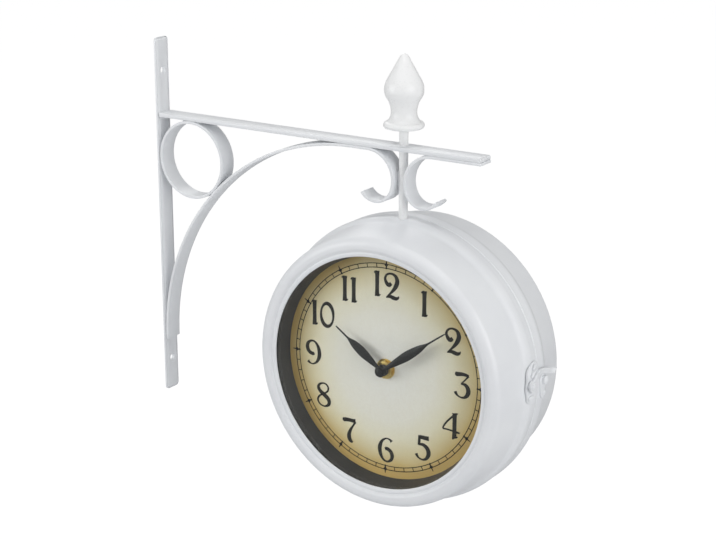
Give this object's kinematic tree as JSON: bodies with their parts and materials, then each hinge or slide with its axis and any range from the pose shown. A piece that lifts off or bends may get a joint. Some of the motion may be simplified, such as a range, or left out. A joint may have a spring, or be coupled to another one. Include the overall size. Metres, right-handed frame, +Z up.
{
  "type": "double sided wall clock",
  "caption": "Round pressed metal clock with a dial on each face, hung from a scrolled wall bracket by a rod with a turned finial.",
  "frame": {"origin": "midway between the two screw holes, on the back face of the wall bar, where it meets the wall", "axes": "+X away from the wall along the arm, +Y towards the rear dial (the front dial faces -Y), +Z up"},
  "size_m": [0.3064, 0.086, 0.3075],
  "materials": {
    "white_enamel": "satin",
    "zinc_steel": "satin",
    "clear_glass": "gloss",
    "black_moulding": "satin",
    "printed_dial": "satin",
    "brass": "polished",
    "battery_can": "gloss",
    "copper_wire": "satin",
    "board_green": "satin",
    "gear_plastic": "satin",
    "black_metal": "satin"
  },
  "bodies": {
    "bracket": {"wall_bar": "white_enamel", "top_arm": "white_enamel", "corner_ring": "white_enamel", "brace_scroll": "white_enamel", "end_scroll": "white_enamel", "hanger_rod": "white_enamel", "finial": "white_enamel", "hanger_nuts": "zinc_steel", "hanger_washer": "zinc_steel"},
    "case": {"front_shell": "white_enamel", "hanger_saddle": "zinc_steel", "hinge_pin": "white_enamel", "front_hinge_leaf": "white_enamel", "latch_plate": "white_enamel", "front_rivets": "white_enamel", "front_glass": "clear_glass", "front_spacer_ring": "black_moulding", "front_dial": "printed_dial", "front_dial_clips": "zinc_steel", "front_movement_housing": "black_moulding", "front_movement_cover": "black_moulding", "front_dial_nut": "brass", "front_dial_washer": "brass", "front_battery": "battery_can", "front_contacts": "zinc_steel", "front_coil": "copper_wire", "front_circuit_board": "board_green"},
    "door": {"rear_shell": "white_enamel", "rear_hinge_leaf": "white_enamel", "catch_plate": "white_enamel", "rear_rivets": "white_enamel", "rear_glass": "clear_glass", "rear_spacer_ring": "black_moulding", "rear_dial": "printed_dial", "rear_dial_clips": "zinc_steel", "rear_movement_housing": "black_moulding", "rear_movement_cover": "black_moulding", "rear_dial_nut": "brass", "rear_dial_washer": "brass", "rear_battery": "battery_can", "rear_contacts": "zinc_steel", "rear_coil": "copper_wire", "rear_circuit_board": "board_green"},
    "latch": {"latch_hook": "white_enamel"},
    "front_minute": {"front_minute_arbor": "gear_plastic", "front_minute_hand": "black_metal", "front_cap_nut": "black_metal"},
    "front_hour": {"front_hour_wheel": "gear_plastic", "front_hour_hand": "black_metal"},
    "front_motion": {"front_motion_wheel": "gear_plastic"},
    "front_setting": {"front_setting_knob": "gear_plastic"},
    "rear_minute": {"rear_minute_arbor": "gear_plastic", "rear_minute_hand": "black_metal", "rear_cap_nut": "black_metal"},
    "rear_hour": {"rear_hour_wheel": "gear_plastic", "rear_hour_hand": "black_metal"},
    "rear_motion": {"rear_motion_wheel": "gear_plastic"},
    "rear_setting": {"rear_setting_knob": "gear_plastic"}
  },
  "joints": [
    {"name": "case_swivel", "type": "hinge", "parent": "bracket", "child": "case", "pos_m": [0.2025, 0, 0], "axis": [0, 0, 1], "continuous": true},
    {"name": "case_hinge", "type": "hinge", "parent": "case", "child": "door", "pos_m": [0.1, 0.007, -0.07], "axis": [0, 0, 1], "range_deg": [0, 100]},
    {"name": "latch_turn", "type": "hinge", "parent": "case", "child": "latch", "pos_m": [0.3037, -0.0048, -0.0665], "axis": [1, 0, 0], "range_deg": [0, 75]},
    {"name": "front_minute_turn", "type": "hinge", "parent": "case", "child": "front_minute", "pos_m": [0.2025, -0.013, -0.07], "axis": [0, -1, 0], "continuous": true},
    {"name": "front_hour_turn", "type": "hinge", "parent": "case", "child": "front_hour", "pos_m": [0.2025, -0.013, -0.07], "axis": [0, -1, 0], "continuous": true},
    {"name": "front_motion_turn", "type": "hinge", "parent": "case", "child": "front_motion", "pos_m": [0.1941, -0.013, -0.07], "axis": [0, -1, 0], "continuous": true},
    {"name": "front_setting_turn", "type": "hinge", "parent": "case", "child": "front_setting", "pos_m": [0.18683, -0.013, -0.0658], "axis": [0, -1, 0], "continuous": true},
    {"name": "rear_minute_turn", "type": "hinge", "parent": "door", "child": "rear_minute", "pos_m": [0.2025, 0.027, -0.07], "axis": [0, 1, 0], "continuous": true},
    {"name": "rear_hour_turn", "type": "hinge", "parent": "door", "child": "rear_hour", "pos_m": [0.2025, 0.027, -0.07], "axis": [0, 1, 0], "continuous": true},
    {"name": "rear_motion_turn", "type": "hinge", "parent": "door", "child": "rear_motion", "pos_m": [0.2109, 0.027, -0.07], "axis": [0, 1, 0], "continuous": true},
    {"name": "rear_setting_turn", "type": "hinge", "parent": "door", "child": "rear_setting", "pos_m": [0.21817, 0.027, -0.0658], "axis": [0, 1, 0], "continuous": true}
  ],
  "couplings": [
    {"joint": "front_hour_turn", "follows": "front_minute_turn", "ratio": 0.083333},
    {"joint": "front_motion_turn", "follows": "front_minute_turn", "ratio": -0.33333},
    {"joint": "front_setting_turn", "follows": "front_minute_turn", "ratio": 1},
    {"joint": "rear_hour_turn", "follows": "rear_minute_turn", "ratio": 0.083333},
    {"joint": "rear_motion_turn", "follows": "rear_minute_turn", "ratio": -0.33333},
    {"joint": "rear_setting_turn", "follows": "rear_minute_turn", "ratio": 1}
  ]
}
